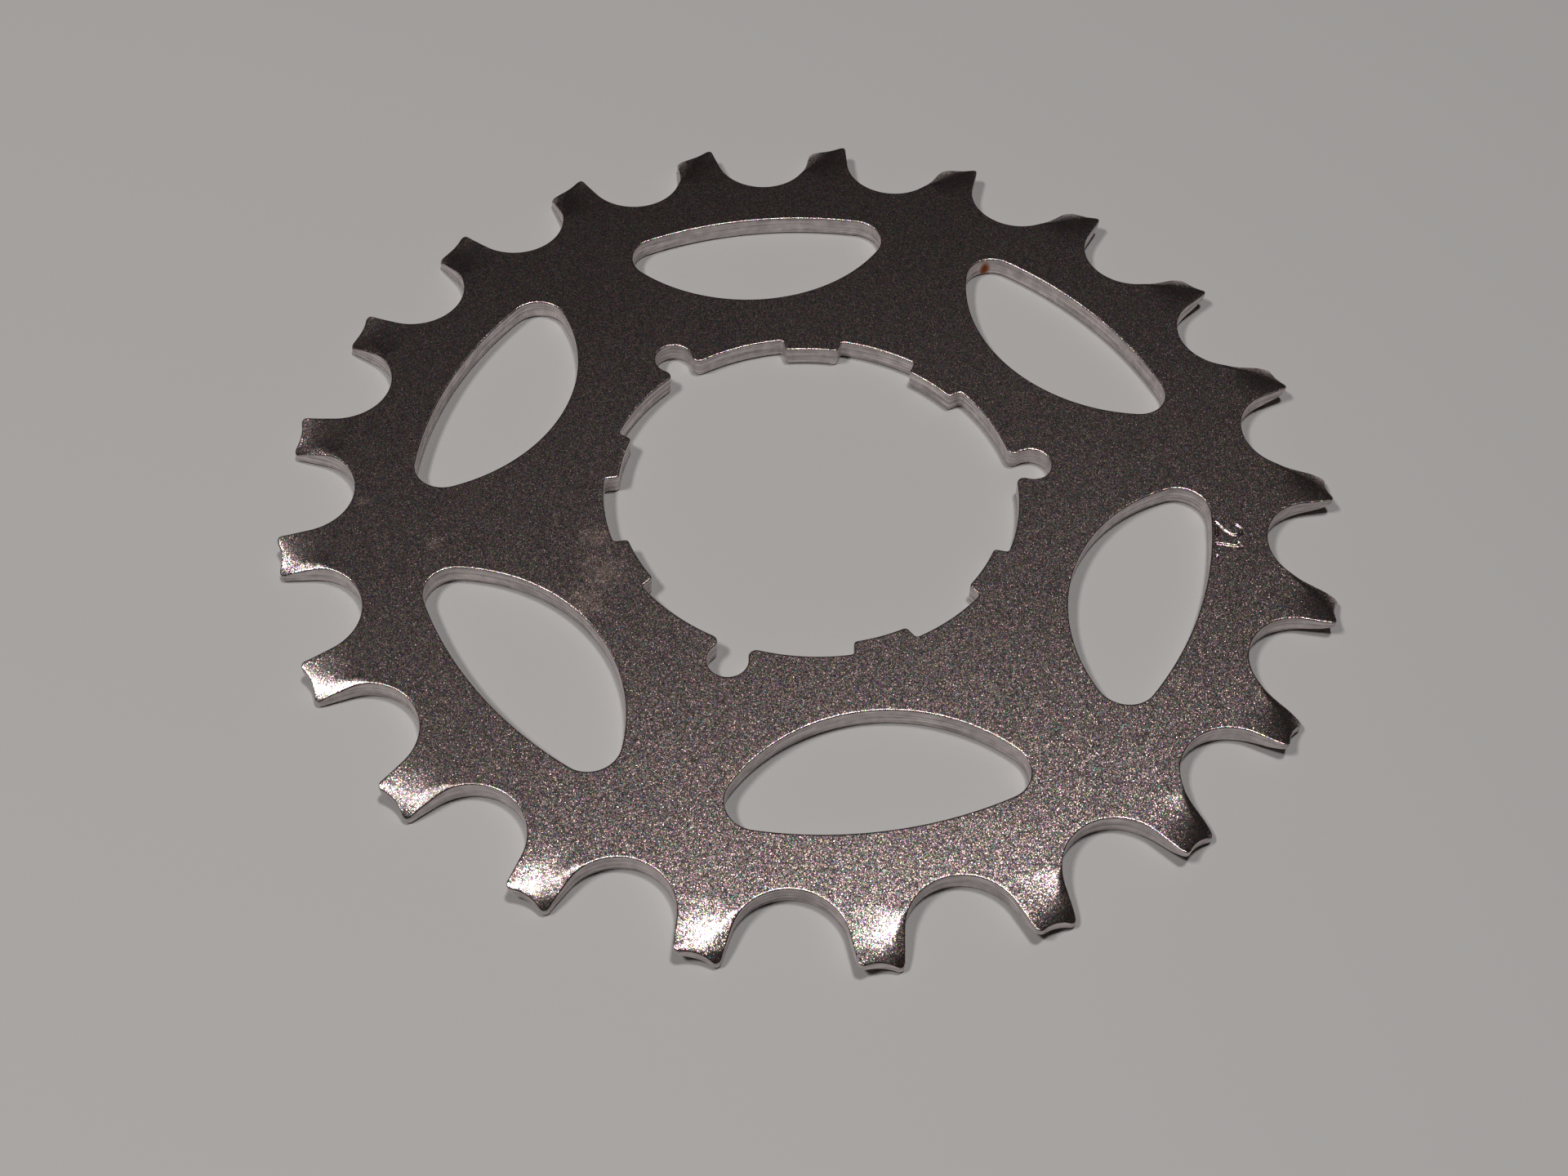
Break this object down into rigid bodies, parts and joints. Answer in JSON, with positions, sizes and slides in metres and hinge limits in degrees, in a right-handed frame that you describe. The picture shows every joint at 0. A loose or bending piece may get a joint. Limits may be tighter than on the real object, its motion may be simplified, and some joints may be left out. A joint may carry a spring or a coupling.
{
  "type": "bicycle cassette sprocket",
  "caption": "Flat stamped steel sprocket with twisted teeth round the rim, rounded lightening windows and a splined bore that slides onto a bicycle hub.",
  "frame": {"origin": "on the bore axis, in the plane of the back face, so the sprocket lies on z = 0", "axes": "+Z along the bore axis, out of the front, marked face; +X through the middle of a round spline notch"},
  "size_m": [0.0882, 0.0883, 0.0019],
  "materials": {
    "plated_steel": "dull nickel-chrome plating over a stamped, pebbled surface; sparkling faces, smoother sheared walls"
  },
  "bodies": {
    "root": {"sprocket": "plated_steel"}
  },
  "joints": []
}
